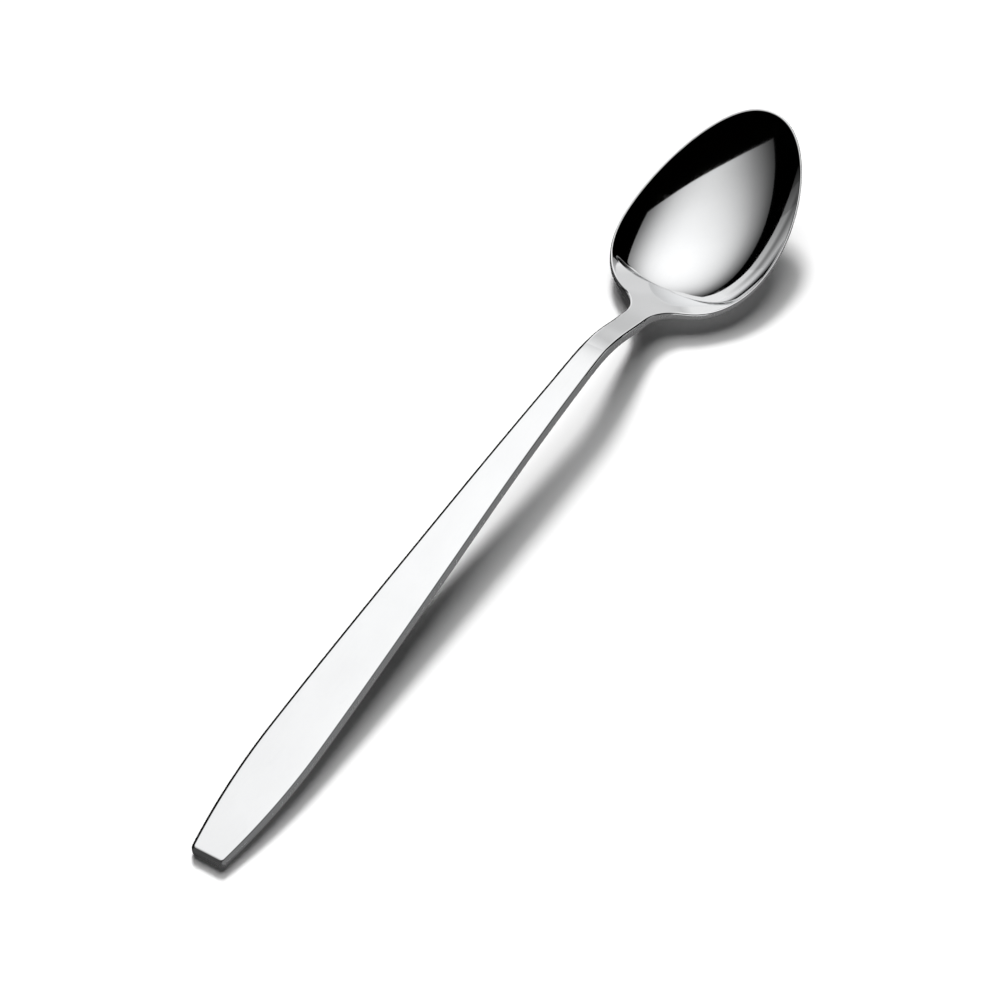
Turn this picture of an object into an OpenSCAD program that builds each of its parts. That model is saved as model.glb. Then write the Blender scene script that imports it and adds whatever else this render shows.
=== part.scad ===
// Long-handled baby spoon, pressed from one strip of stainless steel.
// Stations run along X from the end of the handle to the tip of the bowl, Y is
// across the spoon and Z is up. The spoon lies as it rests on a table: on the
// underside of its bowl and on the lower edge of the handle's end.

/* [Handle] */
// Length from the end of the handle to the back of the bowl
stem_length = 113.5; // [90:0.5:150]
// Greatest width of the handle
handle_width = 8.3; // [6:0.1:12]
// Distance of the greatest width from the end
widest_at = 21; // [12:1:32]
// Width of the squared-off end
end_width = 5; // [3.5:0.1:6]
// How fast each side opens out at the end, in degrees
end_flare = 10; // [5:1:20]
// How fast each side closes in after the greatest width, in degrees
taper_start = 0.9; // [0:0.1:2]
// Radius of the end's two corners
end_corner = 0.7; // [0.3:0.1:1.5]
// Thickness of the metal at the end
end_thickness = 1.6; // [1:0.1:2.5]

/* [Neck] */
// Width of the narrow neck
neck_width = 3.7; // [2.4:0.1:5]
// Thickness of the metal in the neck
neck_thickness = 1.7; // [1.2:0.1:3]
// Length of neck with parallel sides, before it flares into the bowl
neck_straight = 2; // [1:0.5:6]
// Downward slope of the neck after its bend, in degrees
neck_fall = 21.5; // [14:0.5:26]
// Downward slope of the land where the neck runs out into the bowl, in degrees
land_fall = 17.5; // [10:0.5:24]
// Distance from the neck's bend to the back of the bowl
bend_to_bowl = 8; // [6:0.5:14]
// Length of the neck's bend
bend_length = 13; // [8:0.5:20]
// Length of neck behind its bend, up to the handle
neck_reach = 12; // [6:0.5:18]
// Length of the gentle camber that runs into the bend
camber_length = 33; // [20:1:45]
// How far the camber turns the handle, in degrees
camber_turn = 3.3; // [1:0.1:5]

/* [Bowl] */
// Length from the back of the bowl to its greatest width
bowl_back = 15; // [12:0.5:20]
// Length from the greatest width to the tip
bowl_front = 21.5; // [18:0.5:30]
// Greatest width of the bowl
bowl_width = 24.4; // [18:0.1:32]
// Fullness of the bowl's outline towards its tip: 2 is a plain egg
front_fullness = 2.12; // [2:0.02:2.6]
// Depth of the bowl under its rim
bowl_depth = 3.6; // [2.5:0.1:6]
// Fullness of the bowl: 0 is a plain dish, 1 has a flat floor and steep walls
bowl_fullness = 0.5; // [0:0.05:1]
// Thickness of the metal in the bowl
bowl_thickness = 0.9; // [0.7:0.1:1.6]
// Height of the tip above the back of the rim
tip_rise = 9.5; // [4:0.5:12]
// Upward slope of the rim at the tip, in degrees
tip_slope = 28; // [10:1:32]
// Place on the bowl's outline where the neck's fillet leaves it, in degrees
shoulder_angle = 25; // [18:1:35]
// Length over which the metal thins from the neck to the bowl
thinning_length = 14; // [8:0.5:20]
// Length along the rim over which the fall of the land dies away
rim_sweep = 4.8; // [3:0.1:8]
// Distance from the back of the bowl to the lip, where the metal drops into the hollow
lip_at = 5.5; // [3.5:0.1:7]
// How much further from the neck the lip lies at the rim
lip_bow = 1.5; // [0:0.1:2]
// Length of the drop from the lip into the hollow
lip_length = 0.8; // [0.6:0.1:3]
// How much longer that drop is at the rim, as a share of its length on the middle line
lip_spread = 1.5; // [0:0.1:3]

/* [Edges] */
// Width of the broken edge all round
edge_break = 0.3; // [0.1:0.05:0.5]

/* [Hidden] */
steel = [0.78, 0.79, 0.80];

// Sections along each piece and across the bowl
rows_corner = 4;
rows_end = 9;
rows_taper = 20;
rows_neck = 24;
rows_shoulder = 12;
rows_land = 28;
rows_bowl = 36;
columns_flat = 1;
columns_bowl = 16;
last_row = 178;
back_softness = 0.4;

// Powers that shape the sweep of the rim, the dish of the land, the bow of the lip and its edge
sweep_power = 1.5;
land_power = 2.5;
bow_power = 6;
lip_power = 1.2;

// Stations along the spoon
length = stem_length + bowl_back + bowl_front;
bowl_widest = stem_length + bowl_back;
bend_end = stem_length - bend_to_bowl;
bend_start = bend_end - bend_length;
camber_start = bend_start - camber_length;
handle_cut = bend_start - neck_reach;
thin_end = bend_end + thinning_length;
lip_end = stem_length + lip_at + lip_bow + lip_length * (1 + lip_spread);

function steps(from, to, count) = [for (i = [0 : count]) from + (to - from) * i / count];
function after_first(list) = [for (i = [1 : len(list) - 1]) list[i]];

// How far s has come from a to b, an eased step, and the running sum of that step
function share(s, a, b) = min(1, max(0, (s - a) / (b - a)));
function ease(t) = t * t * (3 - 2 * t);
function turned(s, a, b) =
    let (t = share(s, a, b)) (b - a) * t * t * t * (1 - t / 2) + max(0, s - b);

// Curve from p to q over a run, leaving with slope m and arriving with slope n
function curve(t, run, p, q, m, n) =
    p + (q - p) * ease(t) + run * (m * t * (1 - t) * (1 - t) - n * t * t * (1 - t));

// The larger of two values, with the corner between them rounded over a band
function soft_max(a, b, band) =
    let (h = max(0, 1 - abs(a - b) / band)) max(a, b) + h * h * h * band / 6;

// Outline of the bowl: an egg, with its angle counted from the back of the bowl
egg_run = 2 * bowl_front * bowl_back / (bowl_front + bowl_back);
egg_lean = (bowl_front - bowl_back) / (bowl_front + bowl_back);
function egg_station(angle) = bowl_widest - egg_run * cos(angle) / (1 + egg_lean * cos(angle));
function egg_share(s) = let (d = s - bowl_widest) d / (egg_run + egg_lean * d);
function egg_half(s) = let (e = egg_share(s), power = e > 0 ? front_fullness : 2)
    bowl_width / 2 * pow(max(0, 1 - pow(abs(e), power)), 1 / power);

// Fillet between the side of the neck and the egg, tangent to both
shoulder = egg_station(shoulder_angle);
shoulder_half = bowl_width / 2 * sin(shoulder_angle);
shoulder_run = egg_run * sin(shoulder_angle) / pow(1 + egg_lean * cos(shoulder_angle), 2);
shoulder_rise = bowl_width / 2 * cos(shoulder_angle);
shoulder_way = norm([shoulder_run, shoulder_rise]);
fillet_radius = (shoulder_half - neck_width / 2) / (1 - shoulder_run / shoulder_way);
fillet_start = shoulder - fillet_radius * shoulder_rise / shoulder_way;
taper_end = fillet_start - neck_straight;
bowl_cut = fillet_start - neck_straight / 2;

// Stations of the sections through the bowl, close together up to the lip
bowl_angles = steps(acos(-egg_share(lip_end)), last_row, rows_bowl);
bowl_rows = concat(steps(bowl_cut, shoulder, rows_shoulder),
                   after_first(steps(shoulder, lip_end, rows_land)),
                   after_first([for (a = bowl_angles) egg_station(a)]));

// Half of the spoon's width
function corner_cut(s) =
    s < end_corner ? end_corner - sqrt(pow(end_corner, 2) - pow(end_corner - s, 2)) : 0;
function end_half(s) = curve(s / widest_at, widest_at, end_width / 2, handle_width / 2,
                             tan(end_flare), -tan(taper_start)) - corner_cut(s);
function taper_half(s) = let (run = taper_end - widest_at)
    curve((s - widest_at) / run, run, handle_width / 2, neck_width / 2, -tan(taper_start), 0);
function fillet_half(s) =
    neck_width / 2 + fillet_radius - sqrt(pow(fillet_radius, 2) - pow(s - fillet_start, 2));
function half_width(s) = s < widest_at ? end_half(s)
                         : s < taper_end ? taper_half(s)
                         : s < fillet_start ? neck_width / 2
                         : s < shoulder ? fillet_half(s)
                         : egg_half(s);

// Upright thickness of the metal
function stem_thickness(s) =
    end_thickness + (neck_thickness - end_thickness) * share(s, 0, bend_end);
function thickness(s) =
    let (stem = stem_thickness(s))
    stem + (bowl_thickness - stem) * ease(share(s, bend_end, thin_end));

// Slopes of the stem, and how far the fall of the land takes the back of the rim down
camber = tan(camber_turn);
fall = tan(neck_fall);
run_out = tan(land_fall);
function rim_dip(s) =
    let (run = max(0, s - stem_length)) run_out * run * exp(-pow(run / rim_sweep, sweep_power));

// Depth of the bowl under its rim: across is 0 on the middle line and 1 on the rim
function hollow(s) =
    let (e = egg_share(s), left = 1 - e * e) e < 0 ? soft_max(left, 0, back_softness) : left;
function depth(s, across) =
    let (inside = 1 - across * across, d = hollow(s) * inside)
    max(0, bowl_depth * d * (1 + bowl_fullness * (1 - d)) - rim_dip(s) * inside);

// The rim rises from the back of the bowl to the tip. The lowest point under the
// bowl lies on the table, which sets the height of the back of the rim.
function rim_rise(s) = let (run = length - stem_length)
    curve(share(s, stem_length, length), run, 0, tip_rise, 0, tan(tip_slope)) - rim_dip(s);
rim_back = -min([for (s = bowl_rows) rim_rise(s) - depth(s, 0) - thickness(s)]);
function rim(s) = rim_back + rim_rise(s);

// Top line of the handle and neck: straight, a camber, the bend, then down to the bowl.
// The straight part rises just enough for the handle's end to lie on the table.
camber_run = turned(stem_length, camber_start, bend_start);
bend_run = turned(stem_length, bend_start, bend_end);
neck_run = turned(stem_length, bend_end, stem_length);
handle_rise = (rim_back - end_thickness + camber * camber_run + (fall - camber) * bend_run
               - (fall - run_out) * neck_run) / (stem_length - bend_run);
function stem_top(s) = end_thickness + handle_rise * s
                       - camber * turned(s, camber_start, bend_start)
                       - (handle_rise - camber + fall) * turned(s, bend_start, bend_end)
                       + (fall - run_out) * turned(s, bend_end, stem_length);

// Top of the metal: the neck runs on as a land up to the lip
function land(s, across) =
    stem_top(s) + (rim(s) - stem_top(s)) * pow(abs(across), land_power);
function drop(s, across) =
    let (lip = stem_length + lip_at + lip_bow * pow(abs(across), bow_power),
         reach = lip_length * (1 + lip_spread * across * across))
    1 - pow(1 - pow(share(s, lip, lip + reach), lip_power), 2);
function top(s, across) =
    s <= stem_length ? stem_top(s)
    : let (flat = land(s, across)) flat + (rim(s) - depth(s, across) - flat) * drop(s, across);

// Underside of the metal, which follows the hollow
function underside(s, across) =
    top(s, 1) - thickness(s) - (s > bend_end ? depth(s, across) : 0);

// Section of the spoon: over the top, down one side, back underneath, up the other
function section(s, columns) =
    let (w = half_width(s),
         b = min(edge_break, w / 3, thickness(s) / 3),
         x = s - length / 2,
         spread = [for (j = [0 : columns]) -cos(180 * j / columns)],
         high = top(s, 1) - b,
         low = underside(s, 1) + b)
    concat([for (a = spread) [x, a * (w - b), top(s, a)]],
           [[x, w, high], [x, w, low]],
           [for (a = spread) [x, -a * (w - b), underside(s, a)]],
           [[x, -w, low], [x, -w, high]]);

// Closed solid through the sections at a list of stations
module loft(stations, columns) {
    sections = [for (s = stations) section(s, columns)];
    size = len(sections[0]);
    last = len(stations) - 1;
    sides = [for (i = [0 : last - 1], j = [0 : size - 1])
             let (a = i * size + j, b = i * size + (j + 1) % size)
             each [[a, b, b + size], [a, b + size, a + size]]];
    back = [for (j = [size - 1 : -1 : 0]) j];
    front = [for (j = [0 : size - 1]) last * size + j];
    polyhedron(points = [for (ring = sections) each ring],
               faces = concat(sides, [back], [front]));
}

module handle() {
    color(steel) loft(concat(steps(0, end_corner, rows_corner),
                             after_first(steps(end_corner, widest_at, rows_end)),
                             after_first(steps(widest_at, handle_cut, rows_taper))), columns_flat);
}

module neck() {
    color(steel) loft(steps(handle_cut, bowl_cut, rows_neck), columns_flat);
}

module bowl() {
    color(steel) loft(bowl_rows, columns_bowl);
}

handle();
neck();
bowl();
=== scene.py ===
import math
from functools import reduce

import bpy
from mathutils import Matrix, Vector


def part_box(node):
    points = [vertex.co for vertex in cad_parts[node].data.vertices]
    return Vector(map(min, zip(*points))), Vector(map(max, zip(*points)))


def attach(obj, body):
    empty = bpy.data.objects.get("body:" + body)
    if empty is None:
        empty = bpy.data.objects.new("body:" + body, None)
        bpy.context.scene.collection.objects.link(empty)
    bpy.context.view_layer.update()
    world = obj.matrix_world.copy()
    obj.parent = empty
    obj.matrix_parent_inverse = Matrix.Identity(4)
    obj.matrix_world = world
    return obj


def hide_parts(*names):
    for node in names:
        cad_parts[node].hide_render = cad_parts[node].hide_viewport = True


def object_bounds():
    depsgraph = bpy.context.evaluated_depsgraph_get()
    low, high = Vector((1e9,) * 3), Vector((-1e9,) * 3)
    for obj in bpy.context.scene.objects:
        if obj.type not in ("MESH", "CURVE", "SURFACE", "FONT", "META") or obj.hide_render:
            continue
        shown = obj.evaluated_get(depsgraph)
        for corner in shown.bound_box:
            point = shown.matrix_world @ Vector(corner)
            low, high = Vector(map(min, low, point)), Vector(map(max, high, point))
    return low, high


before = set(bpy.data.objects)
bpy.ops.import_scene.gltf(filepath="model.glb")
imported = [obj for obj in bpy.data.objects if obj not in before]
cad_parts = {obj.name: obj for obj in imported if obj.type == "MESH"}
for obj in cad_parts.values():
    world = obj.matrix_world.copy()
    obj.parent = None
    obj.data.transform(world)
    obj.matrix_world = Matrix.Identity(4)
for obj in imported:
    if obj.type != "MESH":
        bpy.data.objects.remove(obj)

# The spoon's solids as packed, before anything is dressed
cad_low, cad_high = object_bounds()
handle_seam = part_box("handle")[1].x
bowl_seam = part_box("bowl")[0].x

# Sizes of the spoon in metres, the same as in its source
mm = 0.001
stem_length = 113.5 * mm
handle_width = 8.3 * mm
widest_at = 21 * mm
end_width = 5 * mm
end_flare = math.tan(math.radians(10))
taper_start = math.tan(math.radians(0.9))
end_corner = 0.7 * mm
end_thickness = 1.6 * mm
neck_width = 3.7 * mm
neck_thickness = 1.7 * mm
neck_straight = 2 * mm
neck_fall = math.tan(math.radians(21.5))
land_fall = math.tan(math.radians(17.5))
bend_to_bowl = 8 * mm
bend_length = 13 * mm
camber_length = 33 * mm
camber_turn = math.tan(math.radians(3.3))
bowl_back = 15 * mm
bowl_front = 21.5 * mm
bowl_width = 24.4 * mm
front_fullness = 2.12
bowl_depth = 3.6 * mm
bowl_fullness = 0.5
bowl_thickness = 0.9 * mm
tip_rise = 9.5 * mm
tip_slope = math.tan(math.radians(28))
shoulder_angle = math.radians(25)
thinning_length = 14 * mm
rim_sweep = 4.8 * mm
lip_at = 5.5 * mm
lip_bow = 1.5 * mm
lip_length = 0.8 * mm
lip_spread = 1.5
back_softness = 0.4
sweep_power = 1.5
land_power = 2.5
bow_power = 6
lip_power = 1.2

# Radius to which the polishing wheel has rounded the edges of the stem and of the bowl
edge_round = 0.52 * mm
rim_round = 0.4 * mm

# Stations along the spoon, counted from the end of the handle
length = stem_length + bowl_back + bowl_front
bowl_widest = stem_length + bowl_back
bend_end = stem_length - bend_to_bowl
bend_start = bend_end - bend_length
camber_start = bend_start - camber_length
thin_end = bend_end + thinning_length
handle_cut = handle_seam + length / 2
bowl_cut = bowl_seam + length / 2


def share(s, a, b):
    return min(1.0, max(0.0, (s - a) / (b - a)))


def ease(t):
    return t * t * (3 - 2 * t)


def turned(s, a, b):
    """Running sum of an eased step from a to b."""
    t = share(s, a, b)
    return (b - a) * t ** 3 * (1 - t / 2) + max(0.0, s - b)


def curve(t, run, p, q, m, n):
    """Curve from p to q over a run, leaving with slope m and arriving with slope n."""
    return p + (q - p) * ease(t) + run * (m * t * (1 - t) ** 2 - n * t * t * (1 - t))


def soft_max(a, b, band):
    """The larger of two values, with the corner between them rounded over a band."""
    near = max(0.0, 1 - abs(a - b) / band)
    return max(a, b) + near ** 3 * band / 6


# Outline of the bowl: an egg, with its angle counted from the back of the bowl
egg_run = 2 * bowl_front * bowl_back / (bowl_front + bowl_back)
egg_lean = (bowl_front - bowl_back) / (bowl_front + bowl_back)


def egg_station(angle):
    return bowl_widest - egg_run * math.cos(angle) / (1 + egg_lean * math.cos(angle))


def egg_share(s):
    d = s - bowl_widest
    return d / (egg_run + egg_lean * d)


def egg_power(e):
    """The back of the egg has the power of an ellipse, and its front is fuller."""
    return front_fullness if e > 0 else 2


# Fillet between the side of the neck and the egg, tangent to both
shoulder = egg_station(shoulder_angle)
shoulder_half = bowl_width / 2 * math.sin(shoulder_angle)
shoulder_run = egg_run * math.sin(shoulder_angle) / (1 + egg_lean * math.cos(shoulder_angle)) ** 2
shoulder_rise = bowl_width / 2 * math.cos(shoulder_angle)
shoulder_way = math.hypot(shoulder_run, shoulder_rise)
fillet_radius = (shoulder_half - neck_width / 2) / (1 - shoulder_run / shoulder_way)
fillet_start = shoulder - fillet_radius * shoulder_rise / shoulder_way
taper_end = fillet_start - neck_straight


def side_half(s):
    """Half of the spoon's width, with the handle's end square."""
    if s < widest_at:
        return curve(s / widest_at, widest_at, end_width / 2, handle_width / 2, end_flare, -taper_start)
    if s < taper_end:
        run = taper_end - widest_at
        return curve((s - widest_at) / run, run, handle_width / 2, neck_width / 2, -taper_start, 0)
    if s < fillet_start:
        return neck_width / 2
    if s < shoulder:
        return neck_width / 2 + fillet_radius - math.sqrt(fillet_radius ** 2 - (s - fillet_start) ** 2)
    e = egg_share(s)
    power = egg_power(e)
    return bowl_width / 2 * max(0.0, 1 - abs(e) ** power) ** (1 / power)


def corner_reach(s):
    """How far the rounded corner of the handle's end has come out at a station."""
    return math.sqrt(end_corner ** 2 - (end_corner - s) ** 2)


def half_width(s):
    return side_half(s) - (end_corner - corner_reach(s) if s < end_corner else 0)


def thickness(s):
    stem = end_thickness + (neck_thickness - end_thickness) * share(s, 0, bend_end)
    return stem + (bowl_thickness - stem) * ease(share(s, bend_end, thin_end))


def rim_dip(s):
    """How far the fall of the land, dying away along the rim, takes the rim down."""
    run = max(0.0, s - stem_length)
    return land_fall * run * math.exp(-(run / rim_sweep) ** sweep_power)


def depth(s, across):
    """Depth of the bowl under its rim: across is 0 on the middle line and 1 on the rim."""
    e = egg_share(s)
    left = 1 - e * e
    hollow = soft_max(left, 0, back_softness) if e < 0 else left
    inside = 1 - across * across
    d = hollow * inside
    return max(0.0, bowl_depth * d * (1 + bowl_fullness * (1 - d)) - rim_dip(s) * inside)


def rim_rise(s):
    run = length - stem_length
    return curve(share(s, stem_length, length), run, 0, tip_rise, 0, tip_slope) - rim_dip(s)


# Sections of the mesh along the spoon, closer together where the metal turns. The last one lies
# just short of the tip, so that its cap is the tip of the rim.
last_angle = math.radians(179)
rows = {"corner": 8, "end": 26, "taper": 44, "neck": 60, "fillet": 30, "bowl": 180}
ring = 224
crease_angle = math.radians(40)
tiny = 1e-4


def steps(start, stop, count):
    return [start + (stop - start) * i / count for i in range(1, count + 1)]


stations = [0.0]
stations += [end_corner * (1 - math.cos(turn)) for turn in steps(0, math.pi / 2, rows["corner"])]
stations += steps(end_corner, widest_at, rows["end"])
stations += steps(widest_at, handle_cut, rows["taper"])
stations += steps(handle_cut, bowl_cut, rows["neck"])
stations += steps(bowl_cut, shoulder, rows["fillet"])
stations += [egg_station(angle) for angle in steps(shoulder_angle, last_angle, rows["bowl"])]

# One cut by subdivision gives at most 101 parts, so the bar is cut twice: coarsely, then finely
coarse_parts = 12
fine_parts = (len(stations) - 1) // coarse_parts

# The spoon lies on the underside of its bowl and on the handle's end, which sets the slopes
rim_back = max(depth(s, 0) + thickness(s) - rim_rise(s) for s in stations if s > bend_end)
camber_run = turned(stem_length, camber_start, bend_start)
bend_run = turned(stem_length, bend_start, bend_end)
land_run = turned(stem_length, bend_end, stem_length)
handle_rise = (rim_back - end_thickness + camber_turn * camber_run + (neck_fall - camber_turn) * bend_run
               - (neck_fall - land_fall) * land_run) / (stem_length - bend_run)


def stem_top(s):
    return (end_thickness + handle_rise * s
            - camber_turn * turned(s, camber_start, bend_start)
            - (handle_rise - camber_turn + neck_fall) * turned(s, bend_start, bend_end)
            + (neck_fall - land_fall) * turned(s, bend_end, stem_length))


def top(s, across):
    """The neck runs on as a land up to the lip, where the metal drops into the bowl."""
    if s <= stem_length:
        return stem_top(s)
    rim = rim_back + rim_rise(s)
    land = stem_top(s) + (rim - stem_top(s)) * abs(across) ** land_power
    lip = stem_length + lip_at + lip_bow * abs(across) ** bow_power
    reach = lip_length * (1 + lip_spread * across ** 2)
    drop = 1 - (1 - share(s, lip, lip + reach) ** lip_power) ** 2
    return land + (rim - depth(s, across) - land) * drop


def underside(s, across):
    return top(s, 1) - thickness(s) - (depth(s, across) if s > bend_end else 0)


def inset(s, across):
    """How far inside the spoon's outline a place lies."""
    y = abs(across) * half_width(s)
    if s < end_corner:
        return end_corner - math.hypot(end_corner - s, max(0.0, y - side_half(s) + end_corner))
    if s < shoulder:
        step = 0.01 * mm
        slope = (side_half(s + step) - side_half(s - step)) / (2 * step)
        return min(s, (half_width(s) - y) / math.hypot(1, slope))
    e = egg_share(s)
    power = egg_power(e)
    y_share = y / (bowl_width / 2)
    along = power * abs(e) ** (power - 1) * egg_run / (egg_run + egg_lean * (s - bowl_widest)) ** 2
    aside = power * y_share ** (power - 1) / (bowl_width / 2)
    return (1 - abs(e) ** power - y_share ** power) / max(1.0, math.hypot(along, aside))


def surface(s, across, side):
    """Place of a point of the skin: side is 1 on top, -1 underneath and 0 on the edge."""
    x, y = s - length / 2, across * half_width(s)
    if side == 0:
        return Vector((x, y, (top(s, 1) + underside(s, 1)) / 2))
    radius = edge_round + (rim_round - edge_round) * ease(share(s, bend_end, shoulder))
    left = max(0.0, radius - max(0.0, inset(s, across)))
    fall_off = radius - math.sqrt(radius ** 2 - left ** 2)
    return Vector((x, y, top(s, across) - fall_off if side > 0 else underside(s, across) + fall_off))


def add(primitive, name, **form):
    """Adds a primitive with nothing else selected, and names it."""
    bpy.ops.object.select_all(action="DESELECT")
    primitive(**form)
    made = bpy.context.object
    made.name = name
    return made


def only(obj):
    """Selects one object alone and makes it active."""
    bpy.ops.object.select_all(action="DESELECT")
    obj.select_set(True)
    bpy.context.view_layer.objects.active = obj


def pick(obj, kind, wanted):
    """In edit mode, selects the edges or faces that are wanted."""
    bpy.ops.mesh.select_mode(type=kind)
    bpy.ops.mesh.select_all(action="DESELECT")
    bpy.ops.object.mode_set(mode="OBJECT")
    for part in {"EDGE": obj.data.edges, "FACE": obj.data.polygons}[kind]:
        part.select = wanted(part)
    bpy.ops.object.mode_set(mode="EDIT")


def draw_bar(name):
    """A round bar along the spoon, cut into one ring of points for each section."""
    bar = add(bpy.ops.mesh.primitive_cylinder_add, name,
              vertices=ring, radius=1, depth=1, rotation=(0, math.pi / 2, 0))
    bpy.ops.object.transform_apply(rotation=True)
    bpy.ops.object.mode_set(mode="EDIT")
    for parts in (coarse_parts, fine_parts):
        points = bar.data.vertices
        pick(bar, "EDGE", lambda e: abs(points[e.vertices[0]].co.x - points[e.vertices[1]].co.x) > tiny)
        bpy.ops.mesh.subdivide(number_cuts=parts - 1)
    bpy.ops.object.mode_set(mode="OBJECT")
    return bar


def press(bar):
    """Presses the round bar into the spoon: its upper half is the top, its lower half the underside."""
    for point in bar.data.vertices:
        row = round((point.co.x + 0.5) * (len(stations) - 1))
        side = 0 if abs(point.co.z) < tiny else math.copysign(1, point.co.z)
        across = max(-1.0, min(1.0, point.co.y)) if side else math.copysign(1, point.co.y)
        point.co = surface(stations[row], across, side)


def part_off(spoon, seam, name):
    """Parts the spoon at a seam: what lies behind it becomes its own closed piece."""
    only(spoon)
    bpy.ops.object.mode_set(mode="EDIT")
    pick(spoon, "FACE", lambda f: f.center.x < seam)
    bpy.ops.mesh.separate(type="SELECTED")
    bpy.ops.object.mode_set(mode="OBJECT")
    piece = next(obj for obj in bpy.context.selected_objects if obj != spoon)
    for half in (spoon, piece):
        only(half)
        bpy.ops.object.mode_set(mode="EDIT")
        bpy.ops.mesh.select_mode(type="EDGE")
        bpy.ops.mesh.select_all(action="DESELECT")
        bpy.ops.mesh.select_non_manifold()
        bpy.ops.mesh.edge_face_add()
        bpy.ops.mesh.select_all(action="SELECT")
        bpy.ops.mesh.normals_make_consistent(inside=False)
        bpy.ops.object.mode_set(mode="OBJECT")
    piece.name = name
    return piece


def make_spoon():
    """The spoon in its three stretches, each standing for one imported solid."""
    bowl_piece = draw_bar("bowl_steel")
    press(bowl_piece)
    handle_piece = part_off(bowl_piece, handle_seam, "handle_steel")
    neck_piece = part_off(bowl_piece, bowl_seam, "neck_steel")
    pieces = {"handle": handle_piece, "neck": neck_piece, "bowl": bowl_piece}
    for node, piece in pieces.items():
        only(piece)
        bpy.ops.object.shade_smooth_by_angle(angle=crease_angle)
        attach(piece, "root")
        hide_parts(node)
    return pieces


pieces = make_spoon()


class Value:
    """An output socket that takes part in sums: each operator adds its own Math node."""

    def __init__(self, finish, socket):
        self.finish = finish
        self.socket = socket

    def math(self, operation, *values):
        return self.finish.node("Math", {"operation": operation}, dict(enumerate(values)))

    def __add__(self, other):
        return self.math("ADD", self, other)

    def __sub__(self, other):
        return self.math("SUBTRACT", self, other)

    def __rsub__(self, other):
        return self.math("SUBTRACT", other, self)

    def __mul__(self, other):
        return self.math("MULTIPLY", self, other)

    def __abs__(self):
        return self.math("ABSOLUTE", self)

    def larger(self, other):
        return self.math("MAXIMUM", self, other)

    __radd__ = __add__
    __rmul__ = __mul__


class Finish:
    """Nodes of a material or of the surroundings."""

    def __init__(self, owner):
        owner.use_nodes = True
        self.tree = owner.node_tree
        self.tree.nodes.clear()

    def node(self, kind, settings=None, sockets=None, out=0):
        """Makes a node: its settings come first, then the values or links of its sockets."""
        made = self.tree.nodes.new("ShaderNode" + kind)
        for name, value in (settings or {}).items():
            if name == "stops":
                self.set_stops(made.color_ramp, value)
            else:
                setattr(made, name, value)
        for name, value in (sockets or {}).items():
            if isinstance(value, Value):
                self.tree.links.new(value.socket, made.inputs[name])
            else:
                made.inputs[name].default_value = value
        return Value(self, made.outputs[out]) if made.outputs else None

    def noise(self, place, size, detail, turn=0.0):
        """Noise whose clouds have a size along each axis, turned about the upright."""
        laid = self.node("Mapping", {"vector_type": "TEXTURE"}, {
            "Vector": place, "Rotation": (0, 0, turn), "Scale": size})
        return self.node("TexNoise", sockets={"Vector": laid, "Scale": 1.0, "Detail": detail}, out="Fac")

    def swing(self, place, size, detail, turn=0.0):
        """The same noise counted from its middle, so that it goes both ways."""
        return self.noise(place, size, detail, turn) - 0.5

    def step(self, value, low, high):
        """Soft step from 0 at the low value to 1 at the high one."""
        return self.node("MapRange", {"interpolation_type": "SMOOTHSTEP"}, {
            "Value": value, "From Min": low, "From Max": high, "To Min": 0.0, "To Max": 1.0})

    @staticmethod
    def set_stops(ramp, stops):
        ramp.interpolation = "B_SPLINE"
        while len(ramp.elements) < len(stops):
            ramp.elements.new(1)
        for element, (place, level) in zip(ramp.elements, stops):
            element.position = place
            element.color = (level, level, level, 1)


# Steel: sizes of the marks that rolling, polishing and use have left in it, along and across the spoon
cloud_size = Vector((9, 6, 6)) * mm
wave_size = Vector((7, 4, 4)) * mm
line_size = Vector((25, 0.12, 0.12)) * mm
shear_size = Vector((0.08, 0.08, 4)) * mm
patch_size = Vector((4, 4, 4)) * mm
hair_size = Vector((16, 0.3, 0.3)) * mm
hair_turns = (math.radians(14), math.radians(-9), math.radians(38))

# How much finer detail each mark has in it
cloud_detail = 3
wave_detail = 0
line_detail = 2
shear_detail = 2
patch_detail = 2
hair_detail = 1

# Where each mark begins and where it is full: an edge by how upright the surface faces, the
# scratched patches and the hairlines by their noise
edge_band = (0.6, 0.25)
patch_band = (0.52, 0.66)
hair_band = (0.012, 0.003)

# How dull the polish is, and what the marks add to that
polish_dullness = 0.045
cloud_dullness = 0.05
line_dullness = 0.03
hair_dullness = 0.06
edge_dullness = 0.2
shear_dullness = 0.15

# Tone between the steel's darker and its brighter colour, and what the marks add to that
darker_steel = (0.755, 0.76, 0.766, 1)
brighter_steel = (0.811, 0.817, 0.822, 1)
middle_tone = 0.5
cloud_tone = 1.2
line_tone = 0.5
hair_tone = -0.2
edge_tone = -0.35

# Relief of the marks
wave_height = 0.008 * mm
line_height = 0.0004 * mm
shear_height = 0.0008 * mm


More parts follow.
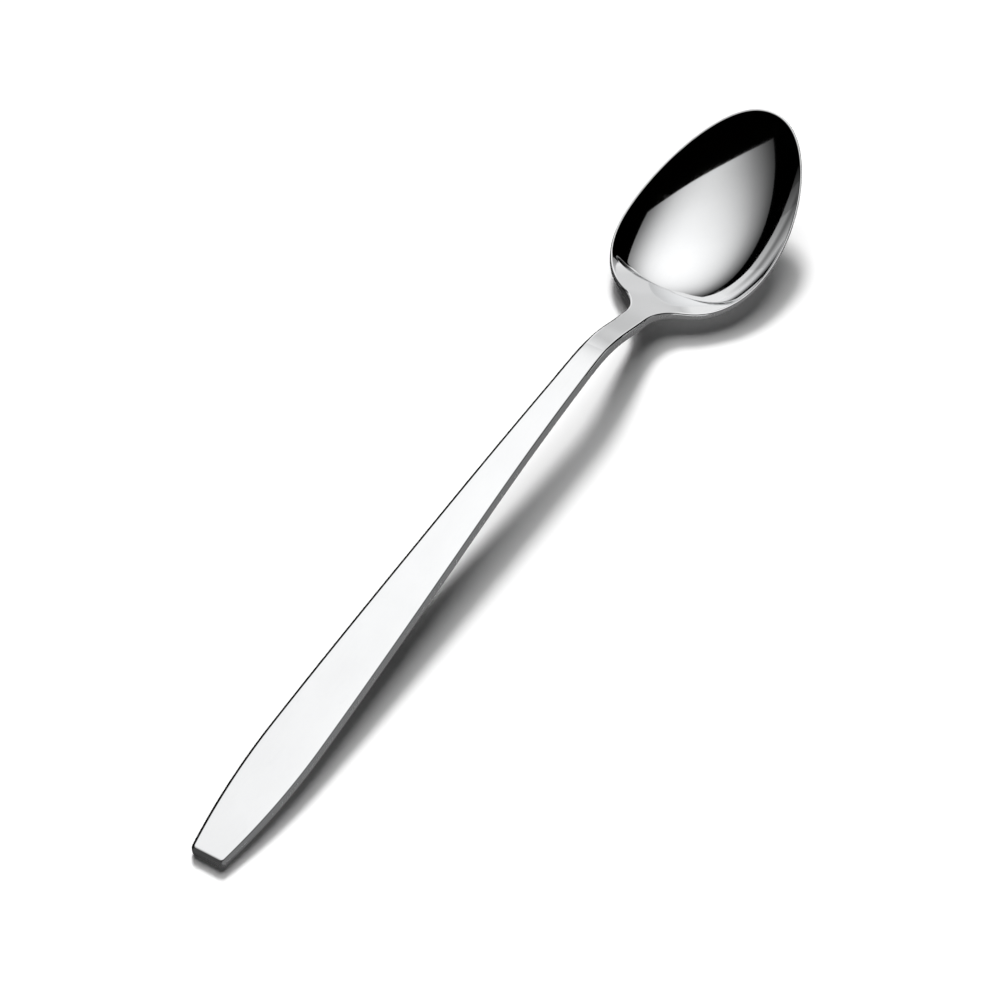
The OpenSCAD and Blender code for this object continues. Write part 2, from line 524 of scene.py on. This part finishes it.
def polished_steel():
    """Mirror-polished stainless steel: faint clouds, polishing lines, hairlines and duller blanked edges."""
    material = bpy.data.materials.new("polished_steel")
    finish = Finish(material)
    place = finish.node("TexCoord", out="Object")
    facing = finish.node("TexCoord", out="Normal")
    upright = finish.node("SeparateXYZ", sockets={"Vector": facing}, out="Z")
    edge = finish.step(abs(upright), *edge_band)
    clouds = finish.swing(place, cloud_size, cloud_detail)
    waves = finish.swing(place, wave_size, wave_detail)
    lines = finish.swing(place, line_size, line_detail)
    shear = finish.swing(place, shear_size, shear_detail)
    worn = finish.step(finish.noise(place, patch_size, patch_detail), *patch_band)
    threads = [finish.swing(place, hair_size, hair_detail, turn) for turn in hair_turns]
    hairs = reduce(Value.larger, [finish.step(abs(thread), *hair_band) for thread in threads]) * worn
    roughness = (polish_dullness + clouds * cloud_dullness + lines * line_dullness
                 + hairs * hair_dullness + edge * (edge_dullness + shear * shear_dullness))
    tone = middle_tone + clouds * cloud_tone + lines * line_tone + hairs * hair_tone + edge * edge_tone
    colour = finish.node("Mix", {"data_type": "RGBA", "clamp_factor": True}, {
        0: tone, 6: darker_steel, 7: brighter_steel}, out=2)
    relief = waves * wave_height + lines * line_height + shear * edge * shear_height
    skin = finish.node("BsdfPrincipled", sockets={
        "Base Color": colour, "Metallic": 1.0, "Roughness": roughness,
        "Normal": finish.node("Bump", sockets={"Strength": 1.0, "Distance": 1.0, "Height": relief})})
    finish.node("OutputMaterial", sockets={"Surface": skin})
    return material


steel = polished_steel()
for piece in pieces.values():
    piece.data.materials.clear()
    piece.data.materials.append(steel)

# Camera: from the handle's side, looking down along the spoon
image_side = 1000
sensor = 36
focal_pixels = 3587.3
camera_distance = 500 * mm
camera_tilt = math.radians(48.32)
camera_turn = math.radians(31.41)
camera_target = Vector((-2.40, 0.38, 0)) * mm
away = Vector((math.cos(camera_turn), math.sin(camera_turn), 0))
rightward = Vector((math.sin(camera_turn), -math.cos(camera_turn), 0))
upward = Vector((0, 0, 1))


def set_camera():
    sight = away * math.cos(camera_tilt) - upward * math.sin(camera_tilt)
    data = bpy.data.cameras.new("camera")
    data.sensor_width = sensor
    data.lens = focal_pixels / image_side * sensor
    camera = bpy.data.objects.new("camera", data)
    camera.location = camera_target - sight * camera_distance
    camera.rotation_euler = sight.to_track_quat("-Z", "Y").to_euler()
    bpy.context.scene.collection.objects.link(camera)
    bpy.context.scene.camera = camera


set_camera()

# Studio: a white floor lit from behind, in white surroundings
floor_size = 6
floor_white = 0.97
fill_level = 0.015
key_level = 0.62
key_height = math.radians(40)
key_softness = math.radians(13)
soft_level = 0.5
soft_height = math.radians(53)
soft_softness = math.radians(52)
lamps_left = math.radians(3)

# Cards that only the polished metal sees, with their levels of light as pairs of place and level
bowl_middle = Vector((bowl_widest - length / 2, 0, 0))
card_cuts = 15
room_size = 16

# Softbox: its corners and bulges in shares of its height, and its light across and along it
softbox_height = 2
softbox_outline = ((-0.86, -0.24), (0.615, -0.06), (0.1, 2.0), (1.11, 2.0))
softbox_left = -0.415
softbox_near = -0.11
softbox_peak = 1.42
softbox_across = ((0, 0.01), (0.2, 0.25), (0.36, 0.72), (0.52, 1.04), (0.7, 0.8), (0.85, 0.4), (1, 0.14))
softbox_along = ((0, 0.58), (0.15, 0.76), (0.36, 1.06), (0.6, 0.84), (0.75, 0.74), (0.85, 0.62), (1, 0.47))

# Boards in a ring: each end has its direction in degrees, level, height and layers from the floor up
board_way = 1.85
side_layers = ((0, 0.9), (0.3, 1), (0.45, 0.7), (0.58, 0.3), (0.68, 0.6), (0.8, 1.25), (1, 1.3))
back_layers = ((0, 1.7), (0.1, 1.5), (0.25, 1), (0.75, 1), (0.88, 1.2), (1, 1.2))
neck_layers = ((0, 0.88), (0.1, 0.82), (0.21, 0.84), (0.33, 1.02), (0.65, 0.96), (0.85, 1.06), (1, 1.12))
ring_layers = ((0, 1), (0.5, 1.05), (1, 0.9))
back_boards = (
    (-72, 0.0, 1.0, side_layers), (-64, 0.06, 1.0, side_layers), (-54, 0.2, 1.0, side_layers),
    (-31, 0.72, 1.0, side_layers), (-15, 1.0, 1.0, back_layers), (-5, 1.1, 1.0, back_layers),
    (3, 1.1, 1.25, back_layers), (7, 1.05, 1.25, neck_layers), (9.5, 0.68, 1.25, neck_layers),
    (12, 0.84, 1.2, neck_layers), (22, 0.82, 1.2, neck_layers), (30, 0.95, 1.36, neck_layers),
    (34, 1.05, 1.36, neck_layers), (36.5, 0.0, 1.36, neck_layers))
front_boards = [(*end, ring_layers) for end in (
    (62, 0.0, 0.9), (68, 0.75, 0.9), (85, 0.8, 0.9), (102, 0.8, 0.95), (122, 0.85, 1.25),
    (140, 0.85, 1.3), (160, 0.85, 1.3), (180, 0.85, 1.3), (200, 0.85, 1.3), (220, 0.85, 1.3),
    (238, 0.85, 1.25), (258, 0.8, 0.95), (275, 0.75, 0.9), (288, 0.0, 0.9))]

# Low cards: those along the stem's edges by their gap and reach above it, the others by their top line
edge_gap = 0.6 * mm
far_reach = 1.3 * mm
near_reach = 1 * mm
edge_stations = (0, 6 * mm, 13 * mm, widest_at, 45 * mm, 70 * mm, 93 * mm)
far_level = 0.01
near_level = 0.21
end_level = 0.07
side_level = 0.8
neck_flag = ((15 * mm, 12 * mm, 18 * mm), (38 * mm, 12 * mm, 18 * mm))
neck_card = ((25 * mm, -34 * mm, 52 * mm), (45 * mm, -34 * mm, 24 * mm), (80 * mm, -34 * mm, 24 * mm))
side_card = ((-110 * mm, 40 * mm, 30 * mm), (14 * mm, 40 * mm, 30 * mm))

# Mat on the floor round the spoon
mat_peak = 0.25
mat_levels = ((0, 0.13), (0.365, 0.13), (0.41, 1), (1, 1))
mat_sides = ((0, 1), (0.29, 1), (0.33, 0), (1, 0))
mat_lift = 0.02 * mm
mat_along = (-300 * mm, 150 * mm)
mat_across = (-90 * mm, 200 * mm)


def studio(right, back, height=0.0):
    """Place in the studio, counted from the middle of the bowl as the camera sees it."""
    return bowl_middle + rightward * right + away * back + upward * height


def even(level):
    return (0, level), (1, level)


def hump(t):
    """Rises from 0 at one end to 1 in the middle and falls to 0 at the other end."""
    return 4 * t * (1 - t)


def stretches(line):
    """The stretches between the points of a line, numbered from 1."""
    return enumerate(zip(line, line[1:]), 1)


def metal_only(made):
    """Leaves a card to the mirror of the polished metal alone."""
    made.visible_camera = False
    made.visible_diffuse = False
    made.visible_transmission = False
    made.visible_shadow = False


def card(name, corners, material, left_bulge=Vector(), near_bulge=Vector()):
    """A card with four corners, near left, near right, far left and far right, and bulging edges."""
    made = add(bpy.ops.mesh.primitive_plane_add, name, size=1)
    bpy.ops.object.mode_set(mode="EDIT")
    bpy.ops.mesh.subdivide(number_cuts=card_cuts)
    bpy.ops.object.mode_set(mode="OBJECT")
    for point in made.data.vertices:
        u, v = point.co.x + 0.5, point.co.y + 0.5
        near = corners[0].lerp(corners[1], u)
        far = corners[2].lerp(corners[3], u)
        bulge = left_bulge * (hump(v) * (1 - u)) + near_bulge * (hump(u) * (1 - v))
        point.co = near.lerp(far, v) + bulge
    made.data.materials.append(material)
    metal_only(made)


def card_light(name, across, along=even(1), peak=1.0, along_end=None):
    """Light of a card, given by its levels across it and along it, which may change towards its end."""
    material = bpy.data.materials.new(name)
    finish = Finish(material)
    place = finish.node("TexCoord", out="UV")
    u = finish.node("SeparateXYZ", sockets={"Vector": place}, out="X")
    v = finish.node("SeparateXYZ", sockets={"Vector": place}, out="Y")
    level = finish.node("ValToRGB", {"stops": along}, {"Fac": v})
    if along_end:
        level = level * (1 - u) + finish.node("ValToRGB", {"stops": along_end}, {"Fac": v}) * u
    level = level * finish.node("ValToRGB", {"stops": across}, {"Fac": u})
    light = finish.node("Emission", sockets={"Color": level, "Strength": peak})
    finish.node("OutputMaterial", sockets={"Surface": light})
    return material


def white_floor():
    """White paper that the eye looks through from underneath."""
    floor = add(bpy.ops.mesh.primitive_plane_add, "floor", size=floor_size)
    material = bpy.data.materials.new("white_paper")
    finish = Finish(material)
    paper = finish.node("BsdfDiffuse", sockets={"Color": (floor_white, floor_white, floor_white, 1)})
    clear = finish.node("BsdfTransparent")
    below = finish.node("NewGeometry", out="Backfacing")
    both = finish.node("MixShader", sockets={0: below, 1: paper, 2: clear})
    finish.node("OutputMaterial", sockets={"Surface": both})
    floor.data.materials.append(material)


def white_surroundings():
    """The eye and the metal see white round the floor; the rest is a low fill of light."""
    world = bpy.data.worlds.new("surroundings")
    bpy.context.scene.world = world
    finish = Finish(world)
    rays = ("Is Camera Ray", "Is Glossy Ray", "Is Transmission Ray")
    seen = reduce(Value.larger, [finish.node("LightPath", out=ray) for ray in rays])
    fill = finish.node("Background", sockets={"Color": (1, 1, 1, 1), "Strength": fill_level})
    white = finish.node("Background", sockets={"Color": (1, 1, 1, 1), "Strength": 1.0})
    both = finish.node("MixShader", sockets={0: seen, 1: fill, 2: white})
    finish.node("OutputWorld", sockets={"Surface": both})


def lamp(name, level, height, softness):
    """A far lamp that gives the floor its level of light, and that the metal doesn't see."""
    data = bpy.data.lights.new(name, "SUN")
    data.angle = softness
    data.energy = level * math.pi / math.sin(height)
    made = bpy.data.objects.new(name, data)
    flat = away * math.cos(lamps_left) - rightward * math.sin(lamps_left)
    towards = flat * math.cos(height) + upward * math.sin(height)
    made.rotation_euler = (-towards).to_track_quat("-Z", "Y").to_euler()
    made.visible_glossy = False
    bpy.context.scene.collection.objects.link(made)


def dark_room():
    """Black cloth round the studio."""
    made = add(bpy.ops.mesh.primitive_cube_add, "dark_room", size=room_size)
    material = bpy.data.materials.new("black_cloth")
    finish = Finish(material)
    black = finish.node("Emission", sockets={"Strength": 0.0})
    finish.node("OutputMaterial", sockets={"Surface": black})
    made.data.materials.append(material)
    metal_only(made)


def softbox():
    """Softbox over the spoon, brightest along its middle."""
    corners = [studio(right * softbox_height, back * softbox_height, softbox_height)
               for right, back in softbox_outline]
    light = card_light("softbox_light", softbox_across, softbox_along, softbox_peak)
    left_bulge = rightward * softbox_left * softbox_height
    near_bulge = away * softbox_near * softbox_height
    card("softbox", corners, light, left_bulge, near_bulge)


def boards():
    """White boards that stand in a ring round the spoon, with gaps that leave the metal dark."""
    for title, line in (("back_board", back_boards), ("front_board", front_boards)):
        for number, (start, end) in stretches(line):
            turns = [math.radians(side) for side in (start[0], end[0])]
            feet = [Vector((math.sin(turn), math.cos(turn))) * board_way for turn in turns]
            corners = [studio(*foot) for foot in feet]
            corners += [studio(*foot, height) for foot, height in zip(feet, (start[2], end[2]))]
            name = f"{title}_{number}"
            levels = (0, start[1]), (1, end[1])
            card(name, corners, card_light(name, levels, start[3], along_end=end[3]))


def low_cards():
    """Cards that stand on the floor: dim ones close to the stem's edges and a white one beside it."""
    def beside(side, reach):
        corner = (cad_low.x - edge_gap, side * (end_width / 2 + edge_gap), end_thickness + reach)
        return [corner] + [(s - length / 2, side * (side_half(s) + edge_gap), stem_top(s) + reach)
                           for s in edge_stations]

    far, near = beside(1, far_reach), beside(-1, near_reach)
    grey = card_light("near_card", even(near_level))
    dark = card_light("far_card", even(far_level))
    dim = card_light("end_card", even(end_level))
    white = card_light("side_card", even(side_level), ring_layers)
    for name, line, light in (("far_card", far, dark), ("neck_flag", neck_flag, dark),
                              ("near_card", near, grey), ("neck_card", neck_card, grey),
                              ("end_card", (near[0], far[0]), dim), ("side_card", side_card, white)):
        for number, (start, end) in stretches(line):
            corners = [Vector((x, y, 0)) for x, y, _ in (start, end)] + [Vector(start), Vector(end)]
            card(f"{name}_{number}", corners, light)


def dark_mat():
    """Dark mat that the sides of the metal see round the spoon."""
    corners = [bowl_middle + Vector((x, y, mat_lift)) for y in mat_across for x in mat_along]
    card("dark_mat", corners, card_light("dark_mat", mat_levels, mat_sides, mat_peak))


white_floor()
white_surroundings()
lamp("key_lamp", key_level, key_height, key_softness)
lamp("soft_lamp", soft_level, soft_height, soft_softness)
dark_room()
softbox()
boards()
low_cards()
dark_mat()

bpy.context.scene.view_settings.view_transform = "Standard"
